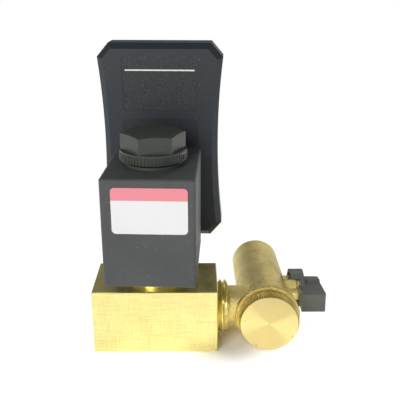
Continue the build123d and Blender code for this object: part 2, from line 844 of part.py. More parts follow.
with BuildPart() as supply_base:
    with BuildSketch(upright(supply_face, coil_middle)):
        Rectangle(supply_flange, supply_flange)
        chamfer(vertices(), length=terminal_base_corner)
    extrude(amount=supply_flange_height)
    with BuildSketch(upright(cover_rear, coil_middle)):
        Rectangle(supply_body, supply_body)
    extrude(amount=supply_body_depth)
    with BuildSketch(upright(supply_face, coil_middle)):
        Circle(screw_head_d / 2 + assembly_gap)
    extrude(amount=supply_face - screw_bearing, mode=Mode.SUBTRACT)
    with BuildSketch(upright(screw_bearing, coil_middle)):
        Circle(screw_hole_d / 2)
        blade_slots(contact_tail, contact_tail)
    extrude(amount=screw_bearing - supply_floor, mode=Mode.SUBTRACT)
    with BuildSketch(upright(supply_face, coil_middle)):
        blade_slots(blade_width, blade_thickness)
    extrude(amount=blade_root, mode=Mode.SUBTRACT)
    with BuildSketch(upright(supply_face - blade_root, coil_middle)):
        blade_slots(contact_tail, contact_tail)
    extrude(amount=supply_face - blade_root - screw_bearing, mode=Mode.SUBTRACT)

with BuildPart() as supply_blades:
    with BuildSketch(upright(supply_face + blade_length, coil_middle)):
        blade_slots(blade_width, blade_thickness)
    extrude(amount=blade_length + blade_root)
    with BuildSketch(upright(supply_face - blade_root, coil_middle)):
        blade_slots(contact_tail, contact_tail)
    extrude(amount=supply_face - blade_root - board_rear)

with BuildPart() as fixing_screw:
    with BuildSketch(upright(screw_bearing + screw_head_height, coil_middle)):
        Circle(screw_head_d / 2)
    extrude(amount=screw_head_height)
    with BuildSketch(upright(screw_bearing, coil_middle)):
        Circle(screw_d / 2)
    extrude(amount=screw_bearing - base_face)
    with BuildSketch(upright(base_face, coil_middle)):
        Circle(screw_minor_d / 2 - press_gap)
    extrude(amount=insert_length - screw_end_gap)
    with BuildSketch(upright(screw_bearing + screw_head_height, coil_middle)):
        Circle(screw_minor_d / 2)
    extrude(amount=screw_socket_depth, mode=Mode.SUBTRACT)


def dial(side):
    """Dial with a grip ring, a pointer slot and a shaft, left (-1) or right (+1)."""
    with BuildPart() as knob:
        with BuildSketch(upright(cover_rear + dial_lift + dial_height, dial_middle)) as rim:
            with Locations((side * dial_across, 0)):
                RegularPolygon(dial_d / 2, dial_grips)
        extrude(rim.sketch, amount=dial_height)
        with BuildSketch(upright(cover_rear + dial_lift, dial_middle)) as shaft:
            with Locations((side * dial_across, 0)):
                Circle(dial_shaft_d / 2)
        extrude(shaft.sketch, amount=cover_rear + dial_lift - board_rear - pot_height + pot_grip)
        with BuildSketch(upright(cover_rear + dial_lift + dial_height, dial_middle)) as slot:
            with Locations((side * dial_across, dial_d / 4 - dial_slot_width)):
                Rectangle(dial_slot_width, dial_d / 2)
        extrude(slot.sketch, amount=dial_slot_depth, mode=Mode.SUBTRACT)
    return knob.part


on_time_dial = dial(-1)
off_time_dial = dial(1)

with BuildPart() as test_button:
    with BuildSketch(upright(cover_rear + button_proud, button_middle)):
        Circle(button_d / 2)
    extrude(amount=cover_rear + button_proud - cover_inner)
    chamfer(test_button.edges().sort_by(rearward)[-1], length=button_edge)
    with BuildSketch(upright(cover_inner, button_middle)):
        Circle(button_flange_d / 2)
    extrude(amount=button_flange_height)
    with BuildSketch(upright(cover_inner - button_flange_height, button_middle)):
        Circle(button_foot_d / 2)
    button_foot = board_rear + switch_height + switch_pin_height
    extrude(amount=cover_inner - button_flange_height - button_foot)

# ------------------------------------------------------------ strainer ball valve

neck_start = block_end - engaged_length
barrel_skin = barrel_d / 2
seat_start = chamber_rear + throat_length
seat_end = 2 * stem_along - seat_start
cap_face = barrel_front - cap_gasket_thickness
cap_thread_end = barrel_front + cap_thread_length - cap_gasket_thickness
cap_floor = cap_thread_end - cap_bore_depth
stem_collar_start = ball_d / 2 + ball_play * 4
stem_collar_end = stem_collar_start + stem_collar_height
packing_start = stem_collar_end + stem_shoulder
gland_top = boss_end + gland_height
plate_start = gland_top + handle_gap
plate_end = plate_start + handle_plate
drum_end = plate_end + drum_length
drive_end = plate_start + drive_length
screw_seat = drive_end + handle_floor

with BuildPart() as strainer_body:
    # barrel with its collar
    with BuildSketch(across(0)):
        band(barrel_d, 0, barrel_front, barrel_rear)
        band(collar_d, 0, barrel_front, barrel_front + collar_length)
    revolve(axis=barrel_axis)
    corner = strainer_body.edges().filter_by(GeomType.CIRCLE).sort_by(barrel_axis)
    chamfer([e for e in corner if abs(e.radius - barrel_skin) < press_gap][0], length=collar_web)
    chamfer(strainer_body.edges().sort_by(barrel_axis)[-1], length=barrel_edge)
    # neck and male thread, packing boss, handle stop
    with BuildSketch(Plane.YZ.offset(neck_start)):
        with Locations((0, port_height)):
            Circle(half_inch_minor / 2 - press_gap)
    extrude(amount=thread_length)
    with BuildSketch(Plane.YZ.offset(block_end)):
        with Locations((0, port_height)):
            Circle(neck_d / 2)
    extrude(amount=barrel_x - block_end)
    with BuildSketch(across(0, stem_along)):
        Circle(boss_d / 2)
    extrude(amount=boss_end)
    with BuildSketch(across(cavity_d / 2, stem_along)):
        ring_sector(stop_outer_d, stop_inner_d, stop_from, stop_to)
    extrude(amount=boss_end - cavity_d / 2 + stop_reach)
    # bores: cap thread, screen chamber, throat, inlet with the ball's seats
    with BuildSketch(across(0)):
        band(cap_thread_d + 2 * running_gap, 0, barrel_front, cap_thread_end + assembly_gap)
        band(chamber_bore_d, 0, barrel_front, chamber_rear)
        band(screen_d + 2 * running_gap, 0, barrel_front, chamber_rear + screen_seat_depth)
        band(throat_d, 0, barrel_front, barrel_rear)
        band(cavity_d, 0, seat_start, barrel_rear)
        band(inlet_minor_d, 0, barrel_rear - inlet_depth, barrel_rear)
    revolve(axis=barrel_axis, mode=Mode.SUBTRACT)
    mouth = strainer_body.edges().filter_by(GeomType.CIRCLE).group_by(barrel_axis)[-1]
    chamfer(mouth.sort_by(SortBy.RADIUS)[0], length=inlet_mouth_chamfer)
    with BuildSketch(Plane.YZ.offset(neck_start)):
        with Locations((0, port_height)):
            Circle(neck_bore_d / 2)
    extrude(amount=barrel_x - neck_start, mode=Mode.SUBTRACT)
    with BuildSketch(stem_plane()):
        band(stem_collar_d + 2 * running_gap, 0, 0, stem_collar_end)
        band(stem_d + 2 * running_gap, 0, 0, boss_end)
        band(packing_d, 0, packing_start, boss_end)
    revolve(axis=stem_axis, mode=Mode.SUBTRACT)

with BuildPart() as cap_gasket:
    with BuildSketch(across(0)):
        gasket_inner_d = cap_thread_d + 2 * running_gap
        band(gasket_inner_d + 2 * cap_gasket_width, gasket_inner_d, cap_face, barrel_front)
    revolve(axis=barrel_axis)

with BuildPart() as strainer_cap:
    with BuildSketch(across(0)):
        band(cap_head_d, 0, cap_face - cap_head_length, cap_face)
    revolve(axis=barrel_axis)
    chamfer(strainer_cap.edges().filter_by(GeomType.CIRCLE), length=cap_edge)
    with BuildSketch(across(0)):
        band(cap_thread_d, 0, cap_face, cap_thread_end)
    revolve(axis=barrel_axis)
    with BuildSketch(across(0)):
        band(cap_bore_d, 0, cap_floor, cap_thread_end)
    revolve(axis=barrel_axis, mode=Mode.SUBTRACT)

with BuildPart() as strainer_screen:
    with BuildSketch(across(0)):
        screen_start = cap_floor + 2 * running_gap
        band(screen_d, screen_d - 2 * screen_wall, screen_start, chamber_rear + screen_seat_depth)
    revolve(axis=barrel_axis)

with BuildPart() as ball:
    with BuildSketch(across(0, stem_along)):
        Circle(ball_d / 2)
        Rectangle(ball_d, ball_d, align=(Align.CENTER, Align.MAX), mode=Mode.SUBTRACT)
        Rectangle(ball_d, ball_bore_d, mode=Mode.SUBTRACT)
    revolve(axis=barrel_axis)
    with BuildSketch(across(ball_d / 2 - tang_depth, stem_along)):
        Rectangle(tang_width + 2 * running_gap, ball_d)
    extrude(amount=ball_d, mode=Mode.SUBTRACT)

with BuildPart() as ball_seats:
    with BuildSketch(across(0)):
        seat_outer_d = cavity_d - 2 * press_gap
        band(seat_outer_d, throat_d, seat_start, seat_start + seat_ring_length)
        band(seat_outer_d, throat_d, seat_end - seat_ring_length, seat_end)
        # conical faces that the ball bears on
        with Locations((stem_along, 0)):
            RegularPolygon(ball_d / 2 + ball_play, 4, major_radius=False, mode=Mode.SUBTRACT)
    revolve(axis=barrel_axis)

with BuildPart() as seat_retainer:
    with BuildSketch(across(0)):
        band(seat_outer_d, retainer_bore_d, seat_end, seat_end + retainer_length)
    revolve(axis=barrel_axis)
    with BuildSketch(across(-barrel_skin, seat_end + retainer_length)):
        Rectangle(retainer_slot, retainer_slot)
    extrude(amount=barrel_d, mode=Mode.SUBTRACT)

with BuildPart() as stem:
    with BuildSketch(across(ball_d / 2 - tang_depth + running_gap, stem_along)):
        Rectangle(tang_width, tang_length)
    extrude(amount=stem_collar_start - ball_d / 2 + tang_depth - running_gap)
    with BuildSketch(stem_plane()):
        band(stem_collar_d, 0, stem_collar_start, stem_collar_end)
        band(stem_d, 0, stem_collar_end, plate_start)
    revolve(axis=stem_axis)
    with BuildSketch(across(plate_start, stem_along)):
        Rectangle(drive_square, drive_square)
    extrude(amount=drive_length)
    with BuildSketch(across(drive_end, stem_along)):
        Circle(handle_screw_minor_d / 2)
    extrude(amount=handle_floor - handle_screw_length, mode=Mode.SUBTRACT)

with BuildPart() as stem_packing:
    for ring in range(2):
        ring_start = packing_start + ring * packing_ring
        with BuildSketch(stem_plane()):
            packing_outer_d = packing_d - 2 * press_gap
            ring_end = ring_start + packing_ring - press_gap
            band(packing_outer_d, stem_d + 2 * running_gap, ring_start, ring_end)
        revolve(axis=stem_axis)

with BuildPart() as gland_nut:
    with BuildSketch(across(boss_end, stem_along)):
        RegularPolygon(gland_hex / 2, 6, major_radius=False)
    extrude(amount=gland_height)
    with BuildSketch(stem_plane()):
        band(packing_d - 2 * press_gap, 0, packing_start + 2 * packing_ring, boss_end)
    revolve(axis=stem_axis)
    with BuildSketch(stem_plane()):
        band(stem_d + 2 * running_gap, 0, packing_start, gland_top)
    revolve(axis=stem_axis, mode=Mode.SUBTRACT)

with BuildPart() as handle:
    # disc with the drum in front of it and the skirt behind it
    with BuildSketch(stem_plane()):
        with BuildLine():
            Polyline(
                (plate_start, 0),
                (plate_start, plate_d / 2),
                (plate_end, plate_d / 2),
                (plate_end, drum_d / 2),
                (drum_end - drum_edge, drum_d / 2),
                (drum_end, drum_d / 2 - drum_edge),
                (drum_end, 0),
                close=True,
            )
        make_face()
    revolve(axis=stem_axis)
    with BuildSketch(across(plate_start - skirt_reach, stem_along)):
        ring_sector(plate_d, plate_d - 2 * skirt_wall, skirt_from, skirt_to)
    extrude(amount=skirt_reach)
    # lever towards the cap
    with BuildSketch(across(lever_inner, stem_along)):
        with BuildLine():
            Polyline(
                (lever_tip - stem_along, lever_tip_height / 2),
                (lever_end - stem_along, lever_root_height / 2),
                (lever_end - stem_along, -lever_root_height / 2),
                (lever_tip - stem_along, -lever_tip_height / 2),
                close=True,
            )
        make_face()
    extrude(amount=lever_outer - lever_inner)
    lever_edges = handle.edges().filter_by(Axis.X).sort_by(barrel_axis)[0:2]
    chamfer(lever_edges, length=lever_edge)
    with BuildSketch(stem_plane()):
        band(plate_d - 2 * skirt_wall, 0, lever_inner, plate_start)
    revolve(axis=stem_axis, mode=Mode.SUBTRACT)
    # square drive and the screw's recess
    with BuildSketch(across(plate_start, stem_along)):
        Rectangle(drive_square + 2 * press_gap, drive_square + 2 * press_gap)
    extrude(amount=drive_length, mode=Mode.SUBTRACT)
    with BuildSketch(across(drive_end, stem_along)):
        Circle(handle_screw_d / 2 + press_gap)
    extrude(amount=handle_floor, mode=Mode.SUBTRACT)
    with BuildSketch(across(screw_seat, stem_along)):
        Circle(handle_recess_d / 2)
    extrude(amount=lever_outer - screw_seat, mode=Mode.SUBTRACT)

with BuildPart() as handle_screw:
    with BuildSketch(stem_plane()):
        band(handle_screw_head_d, 0, screw_seat, screw_seat + handle_screw_head_height)
        band(handle_screw_d, 0, drive_end, screw_seat)
        screw_end = screw_seat - handle_screw_length + screw_end_gap
        band(handle_screw_minor_d - 2 * press_gap, 0, screw_end, drive_end)
    revolve(axis=stem_axis)
    with BuildSketch(across(screw_seat + handle_screw_head_height, stem_along)):
        Rectangle(cross_length, cross_width)
        Rectangle(cross_width, cross_length)
    extrude(amount=-cross_depth, mode=Mode.SUBTRACT)

# ------------------------------------------------------------ export

os.makedirs("parts", exist_ok=True)
valve_block.part.label = "valve_block"
export_step(valve_block.part, "parts/valve_block.step")
tube_flange.part.label = "tube_flange"
export_step(tube_flange.part, "parts/tube_flange.step")
tube_o_ring.part.label = "tube_o_ring"
export_step(tube_o_ring.part, "parts/tube_o_ring.step")
armature_tube.part.label = "armature_tube"
export_step(armature_tube.part, "parts/armature_tube.step")
fixed_core.part.label = "fixed_core"
export_step(fixed_core.part, "parts/fixed_core.step")
shading_ring.part.label = "shading_ring"
export_step(shading_ring.part, "parts/shading_ring.step")
plunger.part.label = "plunger"
export_step(plunger.part, "parts/plunger.step")
plunger_seal.part.label = "plunger_seal"
export_step(plunger_seal.part, "parts/plunger_seal.step")
plunger_spring.part.label = "plunger_spring"
export_step(plunger_spring.part, "parts/plunger_spring.step")
coil_lower_seal.part.label = "coil_lower_seal"
export_step(coil_lower_seal.part, "parts/coil_lower_seal.step")
coil_housing.part.label = "coil_housing"
export_step(coil_housing.part, "parts/coil_housing.step")
coil_bobbin.part.label = "coil_bobbin"
export_step(coil_bobbin.part, "parts/coil_bobbin.step")
coil_winding.part.label = "coil_winding"
export_step(coil_winding.part, "parts/coil_winding.step")
coil_yoke.part.label = "coil_yoke"
export_step(coil_yoke.part, "parts/coil_yoke.step")
coil_terminals.part.label = "coil_terminals"
export_step(coil_terminals.part, "parts/coil_terminals.step")
coil_insert.part.label = "coil_insert"
export_step(coil_insert.part, "parts/coil_insert.step")
coil_label.part.label = "coil_label"
export_step(coil_label.part, "parts/coil_label.step")
coil_upper_seal.part.label = "coil_upper_seal"
export_step(coil_upper_seal.part, "parts/coil_upper_seal.step")
coil_nut.part.label = "coil_nut"
export_step(coil_nut.part, "parts/coil_nut.step")
connector_gasket.part.label = "connector_gasket"
export_step(connector_gasket.part, "parts/connector_gasket.step")
timer_front_shell.part.label = "timer_front_shell"
export_step(timer_front_shell.part, "parts/timer_front_shell.step")
timer_rear_cover.part.label = "timer_rear_cover"
export_step(timer_rear_cover.part, "parts/timer_rear_cover.step")
upper_plate.part.label = "upper_plate"
export_step(upper_plate.part, "parts/upper_plate.step")
lower_plate.part.label = "lower_plate"
export_step(lower_plate.part, "parts/lower_plate.step")
timer_socket.part.label = "timer_socket"
export_step(timer_socket.part, "parts/timer_socket.step")
socket_contacts.part.label = "socket_contacts"
export_step(socket_contacts.part, "parts/socket_contacts.step")
circuit_board.part.label = "circuit_board"
export_step(circuit_board.part, "parts/circuit_board.step")
film_capacitor.part.label = "film_capacitor"
export_step(film_capacitor.part, "parts/film_capacitor.step")
drive_triac.part.label = "drive_triac"
export_step(drive_triac.part, "parts/drive_triac.step")
timer_chip.part.label = "timer_chip"
export_step(timer_chip.part, "parts/timer_chip.step")
dial_pots.part.label = "dial_pots"
export_step(dial_pots.part, "parts/dial_pots.step")
test_switch.part.label = "test_switch"
export_step(test_switch.part, "parts/test_switch.step")
switch_plunger.part.label = "switch_plunger"
export_step(switch_plunger.part, "parts/switch_plunger.step")
status_leds.part.label = "status_leds"
export_step(status_leds.part, "parts/status_leds.step")
supply_base.part.label = "supply_base"
export_step(supply_base.part, "parts/supply_base.step")
supply_blades.part.label = "supply_blades"
export_step(supply_blades.part, "parts/supply_blades.step")
fixing_screw.part.label = "fixing_screw"
export_step(fixing_screw.part, "parts/fixing_screw.step")
test_button.part.label = "test_button"
export_step(test_button.part, "parts/test_button.step")
strainer_body.part.label = "strainer_body"
export_step(strainer_body.part, "parts/strainer_body.step")
cap_gasket.part.label = "cap_gasket"
export_step(cap_gasket.part, "parts/cap_gasket.step")
strainer_cap.part.label = "strainer_cap"
export_step(strainer_cap.part, "parts/strainer_cap.step")
strainer_screen.part.label = "strainer_screen"
export_step(strainer_screen.part, "parts/strainer_screen.step")
ball.part.label = "ball"
export_step(ball.part, "parts/ball.step")
ball_seats.part.label = "ball_seats"
export_step(ball_seats.part, "parts/ball_seats.step")
seat_retainer.part.label = "seat_retainer"
export_step(seat_retainer.part, "parts/seat_retainer.step")
stem.part.label = "stem"
export_step(stem.part, "parts/stem.step")
stem_packing.part.label = "stem_packing"
export_step(stem_packing.part, "parts/stem_packing.step")
gland_nut.part.label = "gland_nut"
export_step(gland_nut.part, "parts/gland_nut.step")
handle.part.label = "handle"
export_step(handle.part, "parts/handle.step")
handle_screw.part.label = "handle_screw"
export_step(handle_screw.part, "parts/handle_screw.step")
on_time_dial.label = "on_time_dial"
export_step(on_time_dial, "parts/on_time_dial.step")
off_time_dial.label = "off_time_dial"
export_step(off_time_dial, "parts/off_time_dial.step")
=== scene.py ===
import json
import math

import bmesh
import bpy
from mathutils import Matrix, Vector


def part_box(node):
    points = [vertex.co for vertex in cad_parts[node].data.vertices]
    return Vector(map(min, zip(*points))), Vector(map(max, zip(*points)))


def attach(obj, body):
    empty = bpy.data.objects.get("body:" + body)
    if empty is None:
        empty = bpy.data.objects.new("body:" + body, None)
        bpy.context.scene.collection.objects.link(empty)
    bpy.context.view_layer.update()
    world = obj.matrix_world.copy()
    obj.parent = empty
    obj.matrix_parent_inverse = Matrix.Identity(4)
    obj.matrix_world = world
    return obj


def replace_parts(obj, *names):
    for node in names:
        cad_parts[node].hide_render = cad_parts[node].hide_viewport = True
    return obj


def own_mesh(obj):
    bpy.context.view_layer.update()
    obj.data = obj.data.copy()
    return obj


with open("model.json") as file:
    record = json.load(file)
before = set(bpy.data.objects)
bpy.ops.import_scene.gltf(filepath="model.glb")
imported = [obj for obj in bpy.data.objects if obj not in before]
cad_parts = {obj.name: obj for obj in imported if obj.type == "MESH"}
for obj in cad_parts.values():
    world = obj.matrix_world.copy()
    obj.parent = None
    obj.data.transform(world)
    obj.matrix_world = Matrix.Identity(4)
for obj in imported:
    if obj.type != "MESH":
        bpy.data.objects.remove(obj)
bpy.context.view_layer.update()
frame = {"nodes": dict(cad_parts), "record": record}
nodes = frame["nodes"]
scene = bpy.context.scene

MM = 0.001
DROOP = math.radians(2.9)  # the strainer's barrel sinks towards its rear
TURN = math.radians(-2.85)  # the coil and timer are turned about the tube
BARREL = Vector((0, math.cos(DROOP), -math.sin(DROOP)))
BARREL_UP = Vector((0, math.sin(DROOP), math.cos(DROOP)))
BARREL_SIDE = BARREL.cross(BARREL_UP)
BLOCK_AXIS = Vector((0, 0, 12.75))
NECK = Vector((42.6, 0, 12.75))
CAP_FACE = -15.4  # the cap's face, along the barrel from the neck's axis
G_HALF_PITCH = 1.814
G_THREE_EIGHTHS_PITCH = 1.337


# ---------------------------------------------------------------- materials

def new_material(name):
    material = bpy.data.materials.new(name)
    material.use_nodes = True
    tree = material.node_tree
    tree.nodes.clear()
    output = tree.nodes.new("ShaderNodeOutputMaterial")
    shader = tree.nodes.new("ShaderNodeBsdfPrincipled")
    tree.links.new(shader.outputs["BSDF"], output.inputs["Surface"])
    return material, tree, shader


def place_texture(tree, stretch=(1, 1, 1)):
    coordinates = tree.nodes.new("ShaderNodeTexCoord")
    mapping = tree.nodes.new("ShaderNodeMapping")
    mapping.inputs["Scale"].default_value = stretch
    tree.links.new(coordinates.outputs["Object"], mapping.inputs["Vector"])
    return mapping.outputs["Vector"]


def noise(tree, where, scale, detail=4, rough=0.55, distortion=0):
    node = tree.nodes.new("ShaderNodeTexNoise")
    node.inputs["Scale"].default_value = scale
    node.inputs["Detail"].default_value = detail
    node.inputs["Roughness"].default_value = rough
    node.inputs["Distortion"].default_value = distortion
    tree.links.new(where, node.inputs["Vector"])
    return node.outputs["Fac"]


def ramp(tree, value, stops, interpolation="LINEAR"):
    node = tree.nodes.new("ShaderNodeValToRGB")
    node.color_ramp.interpolation = interpolation
    elements = node.color_ramp.elements
    while len(elements) < len(stops):
        elements.new(0.5)
    for element, (position, colour) in zip(elements, stops):
        element.position = position
        if not hasattr(colour, "__len__"):
            colour = (colour, colour, colour)
        element.color = (*colour, 1)
    tree.links.new(value, node.inputs["Fac"])
    return node.outputs["Color"]


def mix(tree, factor, first, second, mode="MIX"):
    node = tree.nodes.new("ShaderNodeMix")
    node.data_type = "RGBA"
    node.blend_type = mode
    sockets = [s for s in node.inputs if s.type == "RGBA"]
    for socket, value in zip(sockets, (first, second)):
        if hasattr(value, "is_output"):
            tree.links.new(value, socket)
        else:
            socket.default_value = (*value, 1)
    if hasattr(factor, "is_output"):
        tree.links.new(factor, node.inputs["Factor"])
    else:
        node.inputs["Factor"].default_value = factor
    return [s for s in node.outputs if s.type == "RGBA"][0]


def bump(tree, shader, height, strength, distance, under=None):
    node = tree.nodes.new("ShaderNodeBump")
    node.inputs["Strength"].default_value = strength
    node.inputs["Distance"].default_value = distance
    tree.links.new(height, node.inputs["Height"])
    if under is not None:
        tree.links.new(under, node.inputs["Normal"])
    tree.links.new(node.outputs["Normal"], shader.inputs["Normal"])
    return node.outputs["Normal"]


def shade(colour, amount):
    return tuple(min(1, c * amount) for c in colour)


def metal(name, colour, rough, vary=0.08, brush=(1, 1, 1), brush_scale=600, brush_depth=0.12,
          tarnish=None, tarnish_share=0.0, pits=0.0, rough_spread=0.08):
    material, tree, shader = new_material(name)
    shader.inputs["Metallic"].default_value = 1
    where = place_texture(tree)
    brushed = place_texture(tree, brush)
    clouds = noise(tree, where, 90, 5, 0.6)
    tint = ramp(tree, clouds, [(0.3, shade(colour, 1 - vary)), (0.7, shade(colour, 1 + vary))])
    if tarnish:
        spots = noise(tree, where, 160, 6, 0.7, 0.4)
        mask = ramp(tree, spots, [(1 - tarnish_share, 0), (min(1, 1.12 - tarnish_share), 1)])
        tint = mix(tree, mask, tint, tarnish)
    tree.links.new(tint, shader.inputs["Base Color"])
    grain = noise(tree, brushed, brush_scale, 3, 0.6)
    tree.links.new(ramp(tree, grain, [(0.3, rough - rough_spread), (0.7, rough + rough_spread)]),
                   shader.inputs["Roughness"])
    normal = bump(tree, shader, grain, brush_depth, 0.0001)
    if pits:
        dents = noise(tree, where, 1900, 3, 0.65)
        bump(tree, shader, ramp(tree, dents, [(0.35, 0), (0.6, 1)]), pits, 0.00010, normal)
    return material


def milled(name, colour, rough):
    """Sawn and milled brass: fine crossed marks and soft stains."""
    material, tree, shader = new_material(name)
    shader.inputs["Metallic"].default_value = 1
    where = place_texture(tree)
    clouds = noise(tree, where, 70, 5, 0.65, 0.3)
    tint = ramp(tree, clouds, [(0.32, shade(colour, 0.90)), (0.60, colour)])
    upright = noise(tree, place_texture(tree, (1, 1, 0.06)), 2200, 2, 0.5)
    level = noise(tree, place_texture(tree, (0.06, 0.06, 1)), 2200, 2, 0.5)
    marks = mix(tree, 0.5, upright, level)
    tint = mix(tree, ramp(tree, marks, [(0.40, 0.22), (0.52, 0.0)]), tint, OLIVE)
    tree.links.new(tint, shader.inputs["Base Color"])
    tree.links.new(ramp(tree, clouds, [(0.3, rough + 0.08), (0.7, rough - 0.06)]),
                   shader.inputs["Roughness"])
    bump(tree, shader, marks, 0.22, 0.00005)
    return material


def turned(name, colour, rough):
    """A lathe-turned face: fine rings about the barrel's axis, a fan of sheen painted into its colour and
    a few pits.
    """
    material, tree, shader = new_material(name)
    shader.inputs["Metallic"].default_value = 1
    coordinates = tree.nodes.new("ShaderNodeTexCoord")
    centred = tree.nodes.new("ShaderNodeVectorMath")
    centred.operation = "SUBTRACT"
    centred.inputs[1].default_value = (NECK + BARREL * CAP_FACE) * MM
    tree.links.new(coordinates.outputs["Object"], centred.inputs[0])
    where = centred.outputs["Vector"]
    rings = tree.nodes.new("ShaderNodeTexWave")
    rings.wave_type = "RINGS"
    rings.rings_direction = "Y"
    rings.inputs["Scale"].default_value = 900
    rings.inputs["Distortion"].default_value = 1.5
    tree.links.new(where, rings.inputs["Vector"])
    parts = tree.nodes.new("ShaderNodeSeparateXYZ")
    tree.links.new(where, parts.inputs["Vector"])
    angle = tree.nodes.new("ShaderNodeMath")
    angle.operation = "ARCTAN2"
    tree.links.new(parts.outputs["Z"], angle.inputs[0])
    tree.links.new(parts.outputs["X"], angle.inputs[1])
    # painted sheen in the base colour: it repeats at opposite sides of the centre
    doubled = tree.nodes.new("ShaderNodeMath")
    doubled.operation = "MULTIPLY_ADD"
    doubled.inputs[1].default_value = 2
    doubled.inputs[2].default_value = 0.35
    tree.links.new(angle.outputs["Value"], doubled.inputs[0])
    sheen = tree.nodes.new("ShaderNodeMath")
    sheen.operation = "COSINE"
    tree.links.new(doubled.outputs["Value"], sheen.inputs[0])
    fan = ramp(tree, sheen.outputs["Value"], [(0.0, 0.0), (0.95, 1.0)], "EASE")
    tint = mix(tree, fan, shade(colour, 0.86), shade(colour, 1.06))
    clouds = noise(tree, where, 120, 4, 0.6)
    tint = mix(tree, ramp(tree, clouds, [(0.35, 0.10), (0.6, 0.0)]), tint, OLIVE)
    pits = noise(tree, where, 520, 2, 0.4)
    tint = mix(tree, ramp(tree, pits, [(0.27, 0.55), (0.30, 0.0)]), tint, OLIVE)
    tree.links.new(tint, shader.inputs["Base Color"])
    shader.inputs["Roughness"].default_value = rough
    bump(tree, shader, rings.outputs["Fac"], 0.10, 0.00004)
    return material


def plastic(name, colour, rough, vary=0.06, grain=1800, grain_depth=0.15, dust=0.0,
            dust_colour=(0.5, 0.5, 0.5), dust_scale=1500, dust_reach=(0.70, 0.76), above=None, coat=0.0):
    """Moulded plastic, rubber or paint: above gives a height in metres and the colour over it."""
    material, tree, shader = new_material(name)
    where = place_texture(tree)
    clouds = noise(tree, where, 60, 4, 0.55)
    tint = ramp(tree, clouds, [(0.3, shade(colour, 1 - vary)), (0.7, shade(colour, 1 + vary))])
    if above:
        height, upper_colour = above
        split = tree.nodes.new("ShaderNodeSeparateXYZ")
        tree.links.new(where, split.inputs["Vector"])
        step = tree.nodes.new("ShaderNodeMath")
        step.operation = "GREATER_THAN"
        step.inputs[1].default_value = height
        tree.links.new(split.outputs["Z"], step.inputs[0])
        tint = mix(tree, step.outputs["Value"], tint, upper_colour)
    if dust:
        specks = noise(tree, where, dust_scale, 2, 0.5)
        mask = ramp(tree, specks, [(dust_reach[0], 0), (dust_reach[1], dust)])
        tint = mix(tree, mask, tint, dust_colour)
    tree.links.new(tint, shader.inputs["Base Color"])
    fine = noise(tree, where, grain, 2, 0.5)
    tree.links.new(ramp(tree, fine, [(0.3, rough - 0.06), (0.7, rough + 0.06)]),
                   shader.inputs["Roughness"])
    bump(tree, shader, fine, grain_depth, 0.00008)
    shader.inputs["Coat Weight"].default_value = coat
    return material


BRASS = (0.95, 0.84, 0.34)
OLIVE = (0.42, 0.33, 0.12)
LABEL_BAND_LOW = 0.0643
materials = {
    "machined_brass": milled("machined_brass", BRASS, 0.30),
    "turned_brass": turned("turned_brass", (0.93, 0.75, 0.31), 0.34),
    "cast_brass": metal("cast_brass", (0.84, 0.69, 0.26), 0.44, 0.16, tarnish=OLIVE,
                        tarnish_share=0.42, pits=0.85),
    "steel": metal("steel", (0.52, 0.53, 0.54), 0.30),
    "plunger_steel": metal("plunger_steel", (0.68, 0.69, 0.70), 0.22),
    "spring_steel": metal("spring_steel", (0.52, 0.53, 0.55), 0.30),
    "copper": metal("copper", (0.85, 0.44, 0.26), 0.35, brush=(1, 1, 30), brush_scale=120,
                    brush_depth=0.6),
    "chromed_brass": metal("chromed_brass", (0.80, 0.81, 0.83), 0.10, 0.03, brush_depth=0.03,
                           rough_spread=0.03),
    "tinned": metal("tinned", (0.74, 0.74, 0.72), 0.30),
    "coil_resin": plastic("coil_resin", (0.066, 0.073, 0.070), 0.52, 0.12, 900, 0.22, 0.35),
    "timer_case": plastic("timer_case", (0.016, 0.022, 0.028), 0.46, 0.08, 1400, 0.20, 0.22),
    "nut_plastic": plastic("nut_plastic", (0.040, 0.044, 0.036), 0.40, 0.16, 1000, 0.20, 0.20),
    "black_plastic": plastic("black_plastic", (0.012, 0.012, 0.013), 0.45),
    "bobbin_plastic": plastic("bobbin_plastic", (0.10, 0.08, 0.06), 0.5),
    "handle_plastic": plastic("handle_plastic", (0.125, 0.135, 0.120), 0.48, 0.10, 900, 0.22, 0.2),
    "label": plastic("label", (0.82, 0.82, 0.83), 0.35, 0.02, 2600, 0.04,
                     above=(LABEL_BAND_LOW, (0.84, 0.27, 0.31))),
    "plate": plastic("plate", (0.013, 0.015, 0.020), 0.42, 0.14, 1300, 0.75, 0.10),
    "rough_plate": plastic("rough_plate", (0.008, 0.010, 0.013), 0.50, 0.10, 3000, 0.9, 0.9,
                           (0.052, 0.056, 0.060), dust_scale=2800, dust_reach=(0.45, 0.70)),
    "seal_rubber": plastic("seal_rubber", (0.015, 0.015, 0.015), 0.65),
    "ptfe": plastic("ptfe", (0.86, 0.86, 0.83), 0.30, 0.03),
    "board": plastic("board", (0.02, 0.13, 0.05), 0.35, 0.12),
    "dial_plastic": plastic("dial_plastic", (0.50, 0.50, 0.49), 0.45),
    "white_print": plastic("white_print", (0.78, 0.78, 0.76), 0.5, 0.03),
    "button_plastic": plastic("button_plastic", (0.42, 0.02, 0.02), 0.35),
    "led": plastic("led", (0.05, 0.42, 0.09), 0.15, coat=0.4),
    "capacitor": plastic("capacitor", (0.45, 0.08, 0.02), 0.25, coat=0.3),
}
slot_of = {row["node"]: row["material_slot"] for row in frame["record"]["subparts"]}


def paint(piece, slot, finish=None):
    """Gives a piece its material; finish names another material for the same slot."""
    piece.data.materials.clear()
    piece.data.materials.append(materials[finish or slot])


for name, node in nodes.items():
    paint(node, slot_of[name])
paint(nodes["upper_plate"], "plate", "rough_plate")


# ---------------------------------------------------------------- shapes

